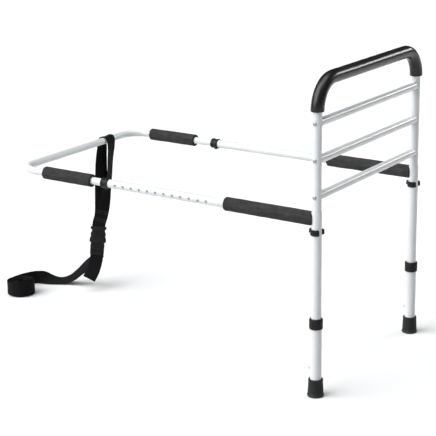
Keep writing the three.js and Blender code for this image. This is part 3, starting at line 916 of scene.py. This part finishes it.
def add_post_clip(end, side):
    """A C-shaped spring clip, open towards +X, with a ribbed knob that carries the locking pin."""
    low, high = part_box(f"post_clip_{end}")
    centre_z = middle(f"post_clip_{end}").z
    inner, outer, height = post_r + play, post_r + 0.003, high.z - low.z
    opening = 0.225 * math.pi  # half of the open angle
    angles = np.linspace(opening, 2 * math.pi - opening, 61)
    section = [  # (radius, share of the height)
        (inner, -0.46), (inner, 0.46), (inner + 0.0004, 0.5), (outer - 0.0006, 0.5), (outer, 0.45),
        (outer, 0.16), (outer - 0.0007, 0.12), (outer - 0.0007, -0.12), (outer, -0.16),
        (outer, -0.45), (outer - 0.0006, -0.5), (inner + 0.0004, -0.5),
    ]
    rings = []
    for angle in angles:
        spoke = np.array([math.cos(angle), math.sin(angle)])
        rings.append([(*(spoke * r), z * height) for r, z in section])
    to_row = Matrix.Translation(from_uprights(0, side * half_width, centre_z))
    vertices, faces = skin(rings)
    vertices = [to_row @ Vector(v) for v in vertices]
    parts = [as_object(f"post_clip_{end}_ring", vertices, faces, "black_plastic")]
    flare = [
        (-0.0008, 0.0062, 0.0010), (0.002, 0.0063, 0.0009), (0.0034, 0.0063, 0.0010),
        (0.0042, 0.0060, 0.0012), (0.0046, 0.0056, 0.0009),
    ]
    for way in (-1, 1):
        lip = Matrix.Translation(((inner + outer) / 2, 0, 0))
        turn = to_row @ Matrix.Rotation(way * opening, 4, "Z") @ lip
        turn = turn @ Matrix.Rotation(way * 0.075 * math.pi, 4, "Z") @ Matrix.Rotation(math.pi / 2, 4, "Y")
        parts.append(lofted("flare", flare, "black_plastic", turn, 5))
    knob_start = to_row @ Vector((-outer + 0.001, 0, 0))
    knob = [
        (0, 0), (0.0046, 0), (0.0046, 0.0014), (0.0040, 0.0019), (0.0040, 0.0030), (0.0044, 0.0034),
        (0.0044, 0.0041), (0.0036, 0.0047), (0, 0.0049),
    ]
    parts.append(lathe("knob", knob, "black_plastic", knob_start, -axis_x, 40))
    thumb = to_row @ Matrix.Translation((-outer - 0.0014, 0, height / 2 - 0.006))
    horn = [(0, 0.0022, 0.0033), (0.003, 0.0022, 0.0034), (0.0050, 0.0020, 0.0032), (0.0058, 0.0012, 0.0026)]
    parts.append(lofted("thumb", horn, "black_plastic", thumb, 4))
    place(joined(f"post_clip_{end}_body", parts), "uprights", "black_plastic", f"post_clip_{end}")


# ---- the U-frame ----
def add_u_frame():
    inner_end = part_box("u_tube")[1].x
    corners = [(inner_end, -1), (u_end_x, -1), (u_end_x, 1), (inner_end, 1)]
    line = rounded_line([Vector((x, side * half_width, rail_z)) for x, side in corners], u_bend_r, 0.05)
    steel = tube("u_tube_steel", line, axis_z, u_tube_r, u_tube_r - wall, "white_steel")
    button_x = middle("u_near_button").x
    holes = []
    for side in ends.values():
        start = Vector((button_x, side * (half_width + 0.004), rail_z))
        holes.append(drill(start, axis_y * side, 0.01))
    steel = cut(steel, holes)
    # the stretch inside the rails carries painted shade, which shows in the rail holes
    steel.data.materials.clear()
    steel.data.materials.append(rail_hole_shaded_steel)
    place(steel, "u_frame", "white_steel", "u_tube")
    for seed, (end, side) in enumerate(ends.items(), start=20):
        node = f"u_foam_{end}"
        add_sleeve(f"{node}_sleeve", node, "u_frame", u_foam_r, u_tube_r + play, side, seed)


def add_button(node, along):
    """A snap button: a domed pin on a thin flange."""
    low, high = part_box(node)
    along = Vector(along)
    length = abs((high - low).dot(along))
    start = (low + high) / 2 - along * length / 2
    dome = [
        (0, 0), (0.0044, 0), (0.0046, 0.0002), (0.0046, 0.001), (button_r, 0.001),
        (button_r, length - 0.0017), (button_r * 0.96, length - 0.0011), (button_r * 0.8, length - 0.0005),
        (button_r * 0.5, length - 0.0001), (0, length),
    ]
    button = lathe(f"{node}_pin", dome, "hardware", start, along, 40)
    place(button, node, "hardware", node)


def add_leaf(prefix, body, along):
    """The button's leaf spring: its CAD solid with softened edges."""
    node, joint = f"{prefix}_spring", f"{prefix}_button_press"
    solid = frame["nodes"][node]
    mesh = solid.data.copy()
    mesh.transform(solid.matrix_world)
    leaf = bpy.data.objects.new(f"{prefix}_leaf", mesh)
    bpy.context.scene.collection.objects.link(leaf)
    mesh.materials.clear()
    mesh.materials.append(finishes["hardware"])
    edges = leaf.modifiers.new("edges", "BEVEL")
    edges.width, edges.segments, edges.limit_method = 0.0001, 2, "ANGLE"
    place(leaf, body, "hardware", node)
    along = Vector(along)
    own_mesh(leaf)


# ---- the legs ----
def add_leg(end, side):
    y = side * half_width
    low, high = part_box(f"leg_tube_{end}")
    levels = np.linspace(low.z, high.z, 12)
    line = [from_uprights(0, y, z) for z in levels]
    steel = tube(f"leg_{end}_steel", line, axis_x, leg_r, leg_r - wall, "white_steel", sides=48)
    first = middle(f"leg_{end}_button").z
    heights = [first + i * hole_pitch for i in range(leg_holes)]
    tools = [drill(from_uprights(-0.006, y, z), -axis_x, 0.014) for z in heights]
    place(cut(steel, [joined("drills", tools)]), f"leg_{end}", "white_steel", f"leg_tube_{end}")
    add_leg_collar(end, side)
    add_foot(end, side)


def add_leg_collar(end, side):
    """The bush between the post and the leg: a skirt with two grooves under a rounded shoulder."""
    low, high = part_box(f"leg_collar_{end}")
    height = high.z - low.z
    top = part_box(f"leg_tube_{end}")[1].z - low.z + play
    outer = 0.0166
    profile = [
        (leg_r + play, 0), (outer - 0.0012, 0), (outer - 0.0004, 0.0005), (outer, 0.0014), (outer, 0.0058),
        (outer - 0.0007, 0.0064), (outer - 0.0007, 0.0074), (outer, 0.0080), (outer, 0.0120),
        (outer - 0.0007, 0.0126), (outer - 0.0007, 0.0136), (outer, 0.0142), (outer, height - 0.0030),
        (outer - 0.0008, height - 0.0012), (outer - 0.0022, height), (post_r + play, height),
        (post_r + play, top), (leg_r + play, top),
    ]
    start = from_uprights(0, side * half_width, low.z)
    collar = lathe(f"leg_collar_{end}_bush", profile, "black_plastic", start, axis_z)
    place(collar, f"leg_{end}", "black_plastic", f"leg_collar_{end}")


def add_foot(end, side):
    """A moulded rubber tip: a flared tread, two beads and a soft upper lip."""
    foot_r, top, floor = 0.0205, 0.044, 0.006
    profile = [
        (0, 0.0006), (0.005, 0.0006), (0.0055, 0), (0.009, 0), (0.0095, 0.0006), (0.013, 0.0006), (0.0135, 0),
        (foot_r - 0.0018, 0), (foot_r - 0.0005, 0.0006), (foot_r, 0.0020), (foot_r - 0.0001, 0.0042),
        (foot_r - 0.0009, 0.0056), (foot_r - 0.0012, 0.0072), (0.0187, 0.020), (0.0180, 0.034),
        (0.0178, 0.0375), (0.0181, 0.0385), (0.0182, 0.0415), (0.0178, 0.0432), (0.0168, top),
        (leg_r + play, top), (leg_r + play, floor), (0, floor),
    ]
    foot = lathe(f"foot_{end}_tip", profile, "foot_rubber", from_uprights(0, side * half_width, 0), axis_z)
    place(foot, f"leg_{end}", "foot_rubber", f"foot_{end}")


# ---- floor and light ----
def add_floor():
    mesh = bpy.data.meshes.new("floor")
    size = 30
    corners = [(-size, -size, 0), (size, -size, 0), (size, size, 0), (-size, size, 0)]
    mesh.from_pydata(corners, [], [(0, 1, 2, 3)])
    f = Finish("floor", Roughness=0.9, Specular_IOR_Level=0.1)
    f.colour(f.ramp(f.noise(0.8), (0.3, (0.62, 0.62, 0.62)), (0.7, (0.63, 0.63, 0.63))))
    mesh.materials.append(f.material)
    floor = bpy.data.objects.new("floor", mesh)
    floor.location.z = -0.0004
    bpy.context.scene.collection.objects.link(floor)


def add_lamp(name, place_at, target, size, power):
    data = bpy.data.lights.new(name, "AREA")
    data.shape, data.size, data.size_y = "RECTANGLE", *size
    data.energy = power
    lamp = bpy.data.objects.new(name, data)
    lamp.location = place_at
    lamp.rotation_euler = (Vector(target) - Vector(place_at)).to_track_quat("-Z", "Y").to_euler()
    bpy.context.scene.collection.objects.link(lamp)


def add_light():
    """A sky with a soft key on the near left and a soft top light, and a strip light behind on the right."""
    world = bpy.data.worlds.new("studio")
    world.use_nodes = True
    nodes, links = world.node_tree.nodes, world.node_tree.links
    direction = nodes.new("ShaderNodeTexCoord").outputs["Generated"]
    strength = None
    for azimuth, elevation, start, full, power in sky_lobes:
        azimuth, elevation = math.radians(azimuth), math.radians(elevation)
        level = math.cos(elevation)
        toward = (math.cos(azimuth) * level, math.sin(azimuth) * level, math.sin(elevation))
        facing = nodes.new("ShaderNodeVectorMath")
        facing.operation = "DOT_PRODUCT"
        facing.inputs[1].default_value = toward
        links.new(direction, facing.inputs[0])
        lobe = nodes.new("ShaderNodeMapRange")
        lobe.interpolation_type = "SMOOTHSTEP"
        limits = {"From Min": start, "From Max": full, "To Min": sky_floor, "To Max": power}
        for socket, value in limits.items():
            lobe.inputs[socket].default_value = value
        links.new(facing.outputs["Value"], lobe.inputs["Value"])
        if strength:
            added = nodes.new("ShaderNodeMath")
            links.new(strength, added.inputs[0])
            links.new(lobe.outputs["Result"], added.inputs[1])
            strength = added.outputs[0]
        else:
            strength = lobe.outputs["Result"]
    background = nodes["Background"]
    background.inputs["Color"].default_value = (0.985, 0.993, 1.0, 1)
    links.new(strength, background.inputs["Strength"])
    backdrop = nodes.new("ShaderNodeBackground")
    backdrop.inputs["Color"].default_value = (0.95, 0.955, 0.96, 1)
    seen = nodes.new("ShaderNodeMixShader")
    links.new(nodes.new("ShaderNodeLightPath").outputs["Is Camera Ray"], seen.inputs[0])
    links.new(background.outputs[0], seen.inputs[1])
    links.new(backdrop.outputs[0], seen.inputs[2])
    links.new(seen.outputs[0], nodes["World Output"].inputs["Surface"])
    bpy.context.scene.world = world
    add_lamp("strip_light", (1.65, 2.8, 1.7), (0.4, 0, 0.65), (1.6, 0.35), strip_power)
    bpy.context.scene.view_settings.view_transform = "Standard"


# ---- everything ----
add_camera()
add_strap()
add_buckle()
add_handle()
for level in ("bottom", "middle", "top"):
    add_crossbar(level)
add_u_frame()
for foam_seed, (end_name, end_side) in enumerate(ends.items(), start=10):
    add_post(end_name, end_side)
    add_rail(end_name, end_side)
    foam = f"rail_foam_{end_name}"
    add_sleeve(f"{foam}_sleeve", foam, "uprights", rail_foam_r, rail_r + play, end_side, foam_seed, True)
    add_rail_collar(end_name, end_side)
    add_post_clip(end_name, end_side)
    add_leg(end_name, end_side)
    add_button(f"u_{end_name}_button", axis_y * end_side)
    add_button(f"leg_{end_name}_button", -axis_x)
    add_leaf(f"u_{end_name}", "u_frame", axis_y * end_side)
    add_leaf(f"leg_{end_name}", "uprights", -axis_x)

node_slots = {s["node"]: s["material_slot"] for s in frame["record"]["subparts"]}
for node_name, cad_node in frame["nodes"].items():
    cad_node.data.materials.clear()
    cad_node.data.materials.append(finishes[node_slots[node_name]])

add_floor()
add_light()
